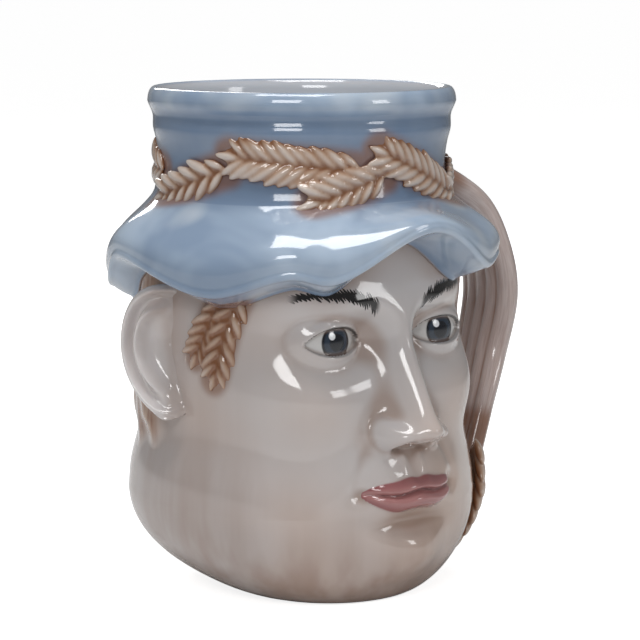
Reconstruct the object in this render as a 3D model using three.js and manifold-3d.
// A glazed porcelain character jug: a man's head in a soft hat with a wreath of wheat ears.
// The jug is one hollow casting. Its mouth is the open top of the hat, and its handle is a sheaf of straw
// that leaves the hat band, stands clear of the left ear and ends in two ears of wheat on the jaw.
// Millimetres, +Z up. The face looks along -Y and the handle is at +X. The origin is where the axis of the
// hat's mouth meets the plane that the foot stands on.
import * as THREE from 'three';
import { mergeVertices } from 'three/addons/utils/BufferGeometryUtils.js';
import Module from 'manifold-3d';

const wasm = await Module();
wasm.setup();

// Heights
const bandHeight = 127.6; // from the foot to the line where the hat's crown meets its brim
const crownHeight = 34; // from there to the top of the lip
const floorThickness = 5;

// Head
const headHalfWidth = 55.3; // at the jowls, the widest part
const footRadius = 26;
const footForward = 15.5; // how far the middle of the foot lies in front of the mouth's axis
const bowlHeight = 32; // where the bowl over the foot reaches the widest part
const chinHeight = 8.6;
const faceThird = 44; // brow to nose base, and nose base to chin

// Hat
const crownWaist = 46.6; // radius where the crown is narrowest
const rimFlare = 3.2; // how much wider the lip is than the waist
const lipThickness = 4.4;
const wall = 4;
const brimReach = 17.4; // from the waist to the brim's edge
const brimOverhangDrop = 5.5; // how far the underside falls from the edge to the head
const brimEdge = 1.7; // radius of the rounded edge

// Wheat
const grainSpread = 7.2; // from the middle of an ear to the tips of its grains
const grainRise = 2.6;
const wreathPairs = 5; // each pair is one high ear and one low ear

// Handle
const handleReach = 34.5; // from the head's side to the outside of the sheaf
const handleWidth = 25;
const handleThickness = 11.5;
const strawCount = 5;

// Human ears
const earHeight = 43;
const earWidth = 28;
const openEar = { side: -1, turn: 30, standOff: 9 }; // turned to the front, in degrees, and standing out
const handleEar = { side: 1, turn: 8, standOff: 5.5 }; // flatter, so that fingers pass between it and the handle

// Fineness of the faceted surface
const columns = 42;

const glazeColour = 0xd9cdc6;
const { clamp, degToRad, lerp, smoothstep } = THREE.MathUtils;
const vector = (x, y, z) => new THREE.Vector3(x, y, z);
const bell = (x, spread) => Math.exp(-((x / spread) ** 2));

// A smooth curve through [x, y] stations, with slopes taken from the neighbours.
function through(stations, x) {
  const last = stations.length - 1;
  if (x <= stations[0][0]) return stations[0][1];
  if (x >= stations[last][0]) return stations[last][1];
  let i = 0;
  while (stations[i + 1][0] < x) i += 1;
  const slope = (k) => {
    const before = stations[Math.max(k - 1, 0)];
    const after = stations[Math.min(k + 1, last)];
    return (after[1] - before[1]) / (after[0] - before[0]);
  };
  const [x0, y0] = stations[i];
  const [x1, y1] = stations[i + 1];
  const span = x1 - x0;
  const t = (x - x0) / span;
  const ease = t * t * (3 - 2 * t);
  const push = t * (1 - t) * span;
  return lerp(y0, y1, ease) + push * ((1 - t) * slope(i) - t * slope(i + 1));
}

// Head without features: half width as a share of the widest, by height as a share of the band's height.
const headOutline = [
  [0.24, 1], [0.31, 0.985], [0.42, 0.93], [0.57, 0.925], [0.77, 0.91], [0.9, 0.885],
  [1, crownWaist / headHalfWidth],
];
const headSquareness = 2.25; // 2 is an ellipse
const frontDepth = 0.97; // depth of the face's plane as a share of the half width
const backDepth = 1;

// Distance from the axis to the plain head, at an angle from the middle of the face.
function headRadius(angle, z) {
  const half = headHalfWidth * through(headOutline, z / bandHeight);
  const depth = half * (Math.cos(angle) > 0 ? frontDepth : backDepth);
  const side = Math.abs(Math.sin(angle)) / half;
  const fore = Math.abs(Math.cos(angle)) / depth;
  const full = (side ** headSquareness + fore ** headSquareness) ** (-1 / headSquareness);
  if (z >= bowlHeight) return full;
  const aside = footForward * Math.sin(angle);
  const footEdge = footForward * Math.cos(angle) + Math.sqrt(footRadius ** 2 - aside ** 2);
  return lerp(footEdge, full, (1 - (1 - Math.max(z, 0) / bowlHeight) ** 2.2) ** 0.57);
}

// The face is designed on thirds of 44 mm and scaled to faceThird. Heights are above the chin.
const designThird = 44;
const faceScale = faceThird / designThird;
const faceMasses = [
  { part: 'glabella', x: 0, z: 84, wide: 8, tall: 8, out: 1.6 },
  { part: 'brow', x: 20, z: 87.5, wide: 13, tall: 5, out: 3 },
  { part: 'temple', x: 45, z: 80, wide: 9, tall: 14, out: -2 },
  { part: 'socket', x: 21, z: 76, wide: 13, tall: 9.5, out: -7.5 },
  { part: 'inner socket', x: 10.5, z: 77, wide: 5, tall: 7, out: -3.5 },
  { part: 'cheekbone', x: 33, z: 58, wide: 14, tall: 13, out: 4.6 },
  { part: 'cheek hollow', x: 35, z: 34, wide: 11, tall: 13, out: -1.2 },
  { part: 'nose wing', x: 9.4, z: 47.6, wide: 4.3, tall: 4.6, out: 8 },
  { part: 'nose tip', x: 0, z: 49.5, wide: 5, tall: 4, out: 1.1 },
  { part: 'nostril', x: 4.6, z: 43.6, wide: 3, tall: 2, out: -2.5 },
  { part: 'muzzle', x: 0, z: 31, wide: 20, tall: 14, out: 5.5 },
  { part: 'philtrum', x: 0, z: 39, wide: 2.2, tall: 4.4, out: -1.1 },
  { part: 'mouth corner', x: 18, z: 29, wide: 3.2, tall: 3, out: -2.2 },
  { part: 'fold under the lip', x: 0, z: 19.6, wide: 14, tall: 3.6, out: -3.4 },
  { part: 'chin', x: 0, z: 8.6, wide: 14, tall: 9, out: 6.5 },
];
const noseBridge = [
  [42, 0], [43.4, 3.5], [45, 9.5], [48.6, 15.6], [53, 14.6], [62, 10.4], [70, 6.6], [77, 3.6], [88, 0.6], [94, 0],
];
const noseHalfWidth = [[42, 8.5], [48, 7.6], [55, 6.6], [66, 5.8], [78, 5.8], [90, 8]];
const eye = { x: 21.4, z: 76, ball: 13, lid: 1.5, half: 10.4, up: 5, down: 3.7, sunk: 2.4 };
const mouth = { z: 29.3, half: 17.5, upper: 5.4, lower: 6.4, upperOut: 2.4, lowerOut: 3.4, line: 1.5 };

// How far the lips stand out at a point of the face.
function lips(x, z) {
  const side = clamp(Math.abs(x) / mouth.half, 0, 1);
  const taper = Math.sqrt(1 - side * side);
  const line = mouth.z + 0.5 * bell(x, 5) - 0.7 * bell(Math.abs(x) - 8, 5);
  const bow = 1 - 0.22 * bell(x, 2.6);
  const upper = (z - line) / (mouth.upper * bow * taper + 0.01);
  const lower = (line - z) / (mouth.lower * taper + 0.01);
  const hump = (t) => (t > 0 && t < 1 ? Math.sqrt(t) * (1 - t) * 2.6 : 0);
  const fullness = taper * (mouth.upperOut * hump(upper) + mouth.lowerOut * hump(lower));
  return fullness - mouth.line * taper * bell(z - line, 1.2);
}

// The eyeball, and the lids over it, as the outward place of their surface; low where there is no eye.
function eyeSurface(x, z, base) {
  const dx = Math.abs(x) - eye.x;
  const dz = z - eye.z;
  const reach = dx * dx + dz * dz;
  const centre = base - eye.sunk - eye.ball;
  const domed = (radius) => centre + Math.sqrt(Math.max(radius * radius - reach, 0));
  const side = clamp(Math.abs(dx) / eye.half, 0, 1);
  const arch = (1 - side ** 2.2) ** 0.75;
  const open = smoothstep(Math.min(eye.up * arch - dz, dz + eye.down * arch), -0.2, 0.5);
  return { lid: domed(eye.ball + eye.lid), ball: domed(eye.ball), open, near: reach < (eye.ball + eye.lid) ** 2 };
}

// Outward place of the face at a sideways place and height above the chin, both in design millimetres.
function faceDepth(x, z, plain, eyeBase) {
  let out = plain;
  for (const mass of faceMasses) {
    out += mass.out * bell(Math.abs(x) - mass.x, mass.wide) * bell(z - mass.z, mass.tall);
  }
  out += through(noseBridge, z) * Math.exp(-(Math.abs(x / through(noseHalfWidth, z)) ** 2.4));
  out += lips(x, z);
  const e = eyeSurface(x, z, eyeBase);
  if (e.near) {
    const skin = Math.max(out, e.lid) + 0.6 * bell(out - e.lid, 1.5);
    out = lerp(skin, e.ball, e.open);
  }
  return out;
}

// A point of the head's outer surface, with its face and hair.
function headPoint(angle, z) {
  const radius = headRadius(angle, z);
  const x = radius * Math.sin(angle);
  const plain = radius * Math.cos(angle);
  const facing = smoothstep(Math.cos(angle), 0.15, 0.5);
  if (facing === 0) {
    const thick = radius + hairRelief(angle, z);
    return vector(thick * Math.sin(angle), -thick * Math.cos(angle), z);
  }
  const eyeAngle = Math.asin((eye.x * faceScale) / headHalfWidth);
  const eyeBase = headRadius(eyeAngle, chinHeight + eye.z * faceScale) * Math.cos(eyeAngle);
  const up = (z - chinHeight) / faceScale;
  const carved = faceScale * faceDepth(x / faceScale, up, plain / faceScale, eyeBase / faceScale);
  const fadeDown = smoothstep(z, 0.1 * chinHeight, chinHeight);
  return vector(x, -lerp(plain, carved, facing * fadeDown), z);
}

// Hair on the back of the head, in hanging locks between the ears and above the nape.
const hairline = 52.5;
const hairThickness = 2.6;
const lockCount = 26;
function hairRelief(angle, z) {
  const behind = smoothstep(-Math.cos(angle), 0.1, 0.35);
  const above = smoothstep(z, hairline - 2, hairline + 5);
  return hairThickness * behind * above * (0.72 + 0.28 * Math.cos(lockCount * angle));
}

// Height of the brim's edge, by degrees from the middle of the face: it waves, and stands up over the nose.
const brimWave = [
  [-180, -25], [-152, -22], [-126, -29], [-103, -17], [-66, -26], [-42, -19.5], [-29, -21], [0, -6.5],
  [29, -20.5], [44, -19], [68, -25], [98, -20], [128, -28], [155, -22], [180, -25],
].map(([degrees, drop]) => [degrees, bandHeight + drop]);
const edgeHeight = (angle) => through(brimWave, THREE.MathUtils.radToDeg(angle));
const edgeRadius = (angle) => crownWaist + brimReach + 0.12 * (edgeHeight(angle) - bandHeight + 22);

// Hat crown above the band: a waist, a slight swell and a rolled lip.
const crownOutline = [
  [0, 1.4], [0.12, 0.5], [0.3, 0], [0.5, 0.6], [0.62, 1.6], [0.74, 1.6], [0.86, rimFlare],
];
const creaseDepth = 1.3; // hollow under the lip, deepest at the front right of the face
function crownRadius(angle, z) {
  const share = (z - bandHeight) / crownHeight;
  const front = smoothstep(Math.cos(angle + 0.7), 0.1, 0.8);
  return crownWaist + through(crownOutline, share) - creaseDepth * front * bell(share - 0.76, 0.07);
}

// A surface skinned over rings of points; a ring of one point closes an end.
function skin(rings) {
  const points = [];
  const starts = rings.map((ring) => {
    const start = points.length;
    points.push(...ring);
    return start;
  });
  const faces = [];
  for (let i = 0; i + 1 < rings.length; i += 1) {
    const [low, high] = [rings[i], rings[i + 1]];
    const [a0, b0] = [starts[i], starts[i + 1]];
    const count = Math.max(low.length, high.length);
    for (let k = 0; k < count; k += 1) {
      const next = (k + 1) % count;
      const [a, aNext] = low.length === 1 ? [a0, a0] : [a0 + k, a0 + next];
      const [b, bNext] = high.length === 1 ? [b0, b0] : [b0 + k, b0 + next];
      const shortFirst = points[a].distanceTo(points[bNext]) <= points[aNext].distanceTo(points[b]);
      const pair = shortFirst ? [[a, aNext, bNext], [a, bNext, b]] : [[a, aNext, b], [aNext, bNext, b]];
      faces.push(...pair.filter(([p, q, r]) => p !== q && q !== r && r !== p));
    }
  }
  const geometry = new THREE.BufferGeometry();
  geometry.setAttribute('position', new THREE.Float32BufferAttribute(points.flatMap((p) => p.toArray()), 3));
  geometry.setIndex(faces.flat());
  return geometry;
}

// A solid for joining and cutting. Rings may wind either way, so a skin that faces inwards is turned round.
function solid(geometry) {
  const bare = geometry.clone();
  bare.deleteAttribute('normal');
  bare.deleteAttribute('uv');
  const merged = mergeVertices(bare);
  const made = (triVerts) => new wasm.Manifold(new wasm.Mesh({
    numProp: 3,
    vertProperties: merged.attributes.position.array,
    triVerts: new Uint32Array(triVerts),
  }));
  const first = made(merged.index.array);
  return first.volume() > 0 ? first : made(merged.index.array.slice().reverse());
}

// Columns of the body stand closer together across the face than round the back.
const faceCrowding = 0.6;
const columnAngles = Array.from({ length: columns }, (_, i) => {
  const turn = (2 * Math.PI * i) / columns;
  const angle = turn - faceCrowding * Math.sin(turn);
  return angle > Math.PI ? angle - 2 * Math.PI : angle;
});
const polar = (angle, radius, z) => vector(radius * Math.sin(angle), -radius * Math.cos(angle), z);
const ringOf = (place) => columnAngles.map((angle) => place(angle));

// The hollow inside follows the plain head and stays clear of the face's hollows.
const faceInset = 7;
function innerRadius(angle, z) {
  const outer = z > bandHeight ? crownRadius(angle, z) : headRadius(angle, z - 0.8 * wall);
  const front = smoothstep(Math.cos(angle), 0.2, 0.8);
  const atFace = smoothstep(z, floorThickness, 0.2 * bandHeight) * smoothstep(bandHeight - z, 2, 30);
  const seated = z > bandHeight ? outer : Math.min(outer, lerp(outer, crownWaist + 4, smoothstep(z, 60, bandHeight)));
  return seated - wall - faceInset * front * atFace;
}

// Rows of the head, as heights above the chin: close together at the lips, the nose's base and the eyes.
const faceRows = [
  -8, -6.4, -3.6, 0, 4, 9, 14, 18, 21, 23.6, 26.4, 28.6, 30, 32, 34.4, 37.5, 41.4, 43.4, 45.8, 48.8, 53, 58.5,
  64, 68.6, 71.8, 74.4, 78, 80.8, 84,
];
const browRow = chinHeight + faceRows.at(-1) * faceScale;

function bodyRings() {
  const underBrim = (angle) => edgeHeight(angle) - brimOverhangDrop;
  const rings = [[vector(0, -footForward, 0)], ringOf((angle) => polar(angle, headRadius(angle, 0), 0))];
  for (const row of faceRows) {
    const level = chinHeight + row * faceScale;
    rings.push(ringOf((angle) => {
      const squeeze = smoothstep(level, 0.4 * browRow, browRow) * Math.min(underBrim(angle) - 3 - browRow, 0);
      return headPoint(angle, level + squeeze);
    }));
  }
  for (const share of [0.5, 1]) {
    rings.push(ringOf((angle) => {
      const from = Math.min(browRow, underBrim(angle) - 3);
      return headPoint(angle, lerp(from, underBrim(angle), share));
    }));
  }
  for (const share of [0.5, 0.92]) {
    rings.push(ringOf((angle) => {
      const root = headPoint(angle, underBrim(angle));
      const edge = polar(angle, edgeRadius(angle) - brimEdge * 0.4, edgeHeight(angle) - brimEdge * 0.6);
      return root.lerp(edge, share).setZ(lerp(underBrim(angle), edgeHeight(angle) - brimEdge, share ** 1.5));
    }));
  }
  for (const share of [0.03, 0.25, 0.5, 0.75]) {
    rings.push(ringOf((angle) => {
      const drop = bandHeight - edgeHeight(angle);
      const base = crownRadius(angle, bandHeight);
      const run = new THREE.CubicBezierCurve(
        new THREE.Vector2(edgeRadius(angle), edgeHeight(angle)),
        new THREE.Vector2(edgeRadius(angle) + 0.2 * drop, edgeHeight(angle) + 0.45 * drop),
        new THREE.Vector2(base + 6, bandHeight - 0.3 * drop),
        new THREE.Vector2(base, bandHeight),
      ).getPoint(share);
      return polar(angle, run.x, run.y);
    }));
  }
  for (const share of [0, 0.3, 0.5, 0.65, 0.76, 0.87]) {
    const z = bandHeight + share * crownHeight;
    rings.push(ringOf((angle) => polar(angle, crownRadius(angle, z), z)));
  }
  const top = bandHeight + crownHeight;
  const lipMiddle = crownWaist + rimFlare - lipThickness / 2;
  for (const turn of [35, 90, 145]) {
    const [c, s] = [Math.cos(degToRad(turn)), Math.sin(degToRad(turn))];
    const z = top - lipThickness * (1 - s);
    rings.push(ringOf((angle) => polar(angle, lipMiddle + (lipThickness / 2) * c, z)));
  }
  const innerTop = top - lipThickness;
  for (const share of [1, 0.84, 0.68, 0.42, 0.22, 0.08]) {
    const z = lerp(floorThickness, innerTop, share);
    rings.push(ringOf((angle) => polar(angle, innerRadius(angle, z), z)));
  }
  rings.push(ringOf((angle) => polar(angle, 0.8 * innerRadius(angle, floorThickness), floorThickness)));
  rings.push([vector(0, -footForward / 2, floorThickness)]);
  return rings;
}

// An ear of wheat lying on a surface: a herringbone of grains along a path that ends at its tip.
// Each ring is a chevron; rings along the backs of a pair of grains alternate with rings in the gaps between pairs.
// place(share) gives a point on the surface and the way out of it.
const acrossGrains = [[-1, -0.4], [-0.6, 1], [0, 0.5], [0.6, 1], [1, -0.4]]; // across, and share of the rise
const rootDepth = 2.6; // how far the underside sinks below the surface
function wheatEar(place, pairs, size = 1, depth = rootDepth) {
  const rows = 2 * pairs + 1;
  const ahead = 0.8 / pairs; // how far the grains' tips run ahead of their roots
  const frameAt = (share) => {
    const { point, out } = place(share);
    const along = place(share + 0.05).point.sub(place(share - 0.05).point).normalize();
    return { point, out, across: out.clone().cross(along).normalize() };
  };
  const ring = (share, fullness) => {
    const taper = size * (0.72 + 0.28 * smoothstep(share, 0, 0.15) - 0.42 * smoothstep(share, 0.7, 1));
    const at = (side, rise) => {
      const { point, out, across } = frameAt(share + ahead * Math.abs(side));
      const reach = side * grainSpread * taper * (0.72 + 0.28 * fullness);
      return point.addScaledVector(across, reach).addScaledVector(out, rise);
    };
    const lift = grainRise * taper * (0.45 + 0.55 * fullness);
    const backs = acrossGrains.map(([side, rise]) => at(side, rise * lift));
    return [...backs, at(0, -depth)];
  };
  const rings = Array.from({ length: rows + 1 }, (_, i) => ring(i / rows, i % 2));
  const tip = place(1 + 1.6 * ahead);
  const root = place(-0.02);
  const sunk = ({ point, out }) => point.addScaledVector(out, -0.4 * depth);
  return solid(skin([[sunk(root)], ...rings, [sunk(tip)]]));
}

// Place on the hat's side, for the wreath: the crown above the band and the brim's slope below it.
const slopeBelowBand = 0.75;
function onHat(degrees, z) {
  const angle = degToRad(degrees);
  const below = Math.max(bandHeight - z, 0);
  const radius = crownRadius(angle, Math.max(z, bandHeight)) + slopeBelowBand * below;
  const lean = clamp(below / 6, 0, 1) * 0.6;
  return { point: polar(angle, radius, z), out: polar(angle, 1, lean).normalize() };
}

// Each ear of the wreath runs from its base to its tip, all the same way round.
const highEar = { base: -17, tip: -64, baseRise: 10, tipRise: 14, pairs: 6 };
const lowEar = { base: -6, tip: -33, baseRise: 8.5, tipRise: 0.5, pairs: 4 };
const highChanges = {
  1: { base: -32, tip: -78, baseRise: -0.5, tipRise: 15 }, // slants down from its tip
  2: { ...highEar, tipRise: 19 }, // climbs over the top of the handle
  4: { base: -36, tip: -80, baseRise: 8, tipRise: 12 }, // starts further round
};
const lowChanges = {
  4: { base: 3, tip: -33, baseRise: 10, tipRise: 0 }, // reaches under the next high ear
};
function wreath() {
  const pitch = 360 / wreathPairs;
  const ears = [];
  for (let i = 0; i < wreathPairs; i += 1) {
    const high = { ...highEar, ...highChanges[i] };
    const low = { ...lowEar, ...lowChanges[i] };
    for (const ear of [low, high]) {
      const place = (share) => onHat(
        i * pitch + lerp(ear.base, ear.tip, share),
        bandHeight + lerp(ear.baseRise, ear.tipRise, share),
      );
      ears.push(wheatEar(place, ear.pairs));
    }
  }
  return ears;
}

// Place on the side of the head, for the sideburns.
function onHead(side, degrees, z) {
  const angle = side * degToRad(degrees);
  const point = headPoint(angle, z);
  return { point, out: polar(angle, 1, 0) };
}
const sideburns = [
  { top: 58, foot: 70, from: 1.02, to: 0.73, pairs: 5, size: 0.86 },
  { top: 68, foot: 78, from: 0.95, to: 0.77, pairs: 3, size: 0.8 },
]; // degrees from the face's middle, and heights as shares of the brim's edge above it
function sideburn(side) {
  return sideburns.map((lock) => wheatEar((share) => {
    const degrees = lerp(lock.top, lock.foot, share);
    const height = edgeHeight(side * degToRad(degrees)) * lerp(lock.from, lock.to, share);
    return onHead(side, degrees, height);
  }, lock.pairs, lock.size, 1.8 * rootDepth));
}

// A human ear: rings run from its hollow out over the inner fold and the rim, round to its back and into the
// head. Its front edge sinks into the cheek, so the rim reads as a curl that opens forwards.
const earAngle = degToRad(93);
const earMiddle = chinHeight + 1.66 * faceThird;
const earLean = degToRad(10);
const earRings = [
  { reach: 0.2, rise: 0.12 }, { reach: 0.4, rise: 0.14 }, { reach: 0.53, rise: 0.62 }, { reach: 0.64, rise: 0.66 },
  { reach: 0.78, rise: 0.55 }, { reach: 0.92, rise: 1 }, { reach: 1, rise: 0.86 }, { reach: 0.93, rise: 0.5 },
  { reach: 0.62, rise: 0.1 },
];
const frontSink = 3; // how far the front edge dips towards the cheek
const earRoot = 0.6 * wall; // how deep the ear goes below the head's surface
function ear({ side, turn: turned, standOff }) {
  const middle = polar(side * earAngle, headRadius(earAngle, earMiddle), earMiddle);
  const out = polar(side * (earAngle - degToRad(turned)), 1, 0);
  const up = vector(0, Math.sin(earLean), Math.cos(earLean));
  const back = up.clone().cross(out).multiplyScalar(side).normalize();
  const point = (turn, reach, rise) => {
    const [c, s] = [Math.cos(turn), Math.sin(turn)];
    const tall = (earHeight / 2) * c * (c > 0 ? 0.92 : 1.08);
    const lobe = c > 0 ? 1 : 0.66 + 0.34 * Math.abs(s) ** 1.4;
    const flare = rise > 0.3 ? smoothstep(s, -0.98, 0.15) : 1;
    const place = middle.clone()
      .addScaledVector(up, tall * reach)
      .addScaledVector(back, (earWidth / 2) * s * lobe * reach)
      .addScaledVector(out, standOff * rise * flare - frontSink * smoothstep(-s, 0.3, 1) * reach);
    const least = headRadius(Math.atan2(place.x, -place.y), place.z) - earRoot;
    const short = Math.max(least / Math.hypot(place.x, place.y), 1);
    return place.multiply(vector(short, short, 1));
  };
  const turns = Array.from({ length: 16 }, (_, i) => (2 * Math.PI * i) / 16);
  const rings = earRings.map(({ reach, rise }) => turns.map((turn) => point(turn, reach, rise)));
  const root = turns.map((turn) => {
    const over = point(turn, 0.5, 0);
    const angle = Math.atan2(over.x, -over.y);
    return polar(angle, headRadius(angle, over.z) - earRoot, over.z);
  });
  const heart = polar(side * earAngle, headRadius(earAngle, earMiddle) - earRoot, earMiddle);
  return solid(skin([[point(0, 0, 0.1)], ...rings, root, [heart]]));
}

// The handle's middle line, from inside the hat band to inside the jaw.
function handlePath() {
  const side = headHalfWidth;
  const outside = side + handleReach - handleThickness / 2;
  return new THREE.CatmullRomCurve3([
    vector(crownWaist - 1, 3, bandHeight + 4),
    vector(crownWaist + 10, 2.5, bandHeight + 1),
    vector(crownWaist + 26, 1.5, bandHeight - 9),
    vector(outside - 3.5, 0, bandHeight - 24),
    vector(outside, 0, 0.69 * bandHeight),
    vector(outside - 4.5, 0, 0.52 * bandHeight),
    vector(side + 14, -5, 0.38 * bandHeight),
    vector(side + 2.5, -12, 0.27 * bandHeight),
    vector(side - 3, -16, 0.21 * bandHeight),
  ]);
}

// Cross-section of the sheaf: straws side by side, so both faces are fluted.
function sheafSection() {
  const steps = 2 * strawCount;
  const upper = [];
  for (let i = 0; i <= steps; i += 1) {
    const across = (2 * i) / steps - 1;
    const straw = Math.abs(Math.sin((Math.PI * strawCount * (across + 1)) / 2));
    const round = Math.sqrt(Math.max(1 - Math.abs(across) ** 2.6, 0.05));
    upper.push([across, round * (0.76 + 0.24 * straw)]);
  }
  return [...upper, ...upper.map(([across, thick]) => [across, -thick]).reverse()];
}

function handle() {
  const path = handlePath();
  const section = sheafSection();
  const steps = 13;
  const rings = [];
  for (let i = 0; i <= steps; i += 1) {
    const share = i / steps;
    const middle = path.getPointAt(share);
    const along = path.getTangentAt(share);
    const wide = vector(0, 1, 0).addScaledVector(along, -along.y).normalize();
    const thick = along.clone().cross(wide);
    const swell = 1 - 0.16 * smoothstep(share, 0.45, 0.85);
    rings.push(section.map(([across, depth]) => middle.clone()
      .addScaledVector(wide, (across * swell * handleWidth) / 2)
      .addScaledVector(thick, (depth * swell * handleThickness) / 2)));
  }
  return solid(skin([[path.getPointAt(0)], ...rings, [path.getPointAt(1)]]));
}

// The ears that the sheaf ends in lie on the jaw, tips down.
const jawEars = [{ y: -24, lean: -0.1 }, { y: -11, lean: 0.1 }];
function jawWheat() {
  const [from, to] = [0.33 * bandHeight, 0.085 * bandHeight];
  return jawEars.map(({ y, lean }) => wheatEar((share) => {
    const z = lerp(from, to, share);
    const angle = Math.PI / 2 + Math.asin((y + lean * (from - z)) / headHalfWidth);
    const stand = headRadius(angle, z) + lerp(4, 1.5, share);
    return { point: polar(angle, stand, z), out: polar(angle, 1, 0) };
  }, 5, 1.15, 2.2 * rootDepth));
}

function jug() {
  const pieces = [handle(), ear(openEar), ear(handleEar), ...wreath(), ...sideburn(-1), ...sideburn(1), ...jawWheat()];
  const joined = wasm.Manifold.union([solid(skin(bodyRings())), ...pieces]);
  // Grains that touch can close off a small pocket, so the outermost skin is what is kept.
  const [outermost] = joined.decompose().sort((a, b) => b.volume() - a.volume());
  const mesh = outermost.getMesh();
  const geometry = new THREE.BufferGeometry();
  geometry.setAttribute('position', new THREE.Float32BufferAttribute(mesh.vertProperties, 3));
  geometry.setIndex(new THREE.Uint32BufferAttribute(mesh.triVerts, 1));
  geometry.computeVertexNormals();
  const glaze = new THREE.MeshStandardMaterial({ color: glazeColour, roughness: 0.12, metalness: 0 });
  const node = new THREE.Mesh(geometry, glaze);
  node.name = 'character_jug';
  return node;
}

const group = new THREE.Group();
group.add(jug());
export default group;
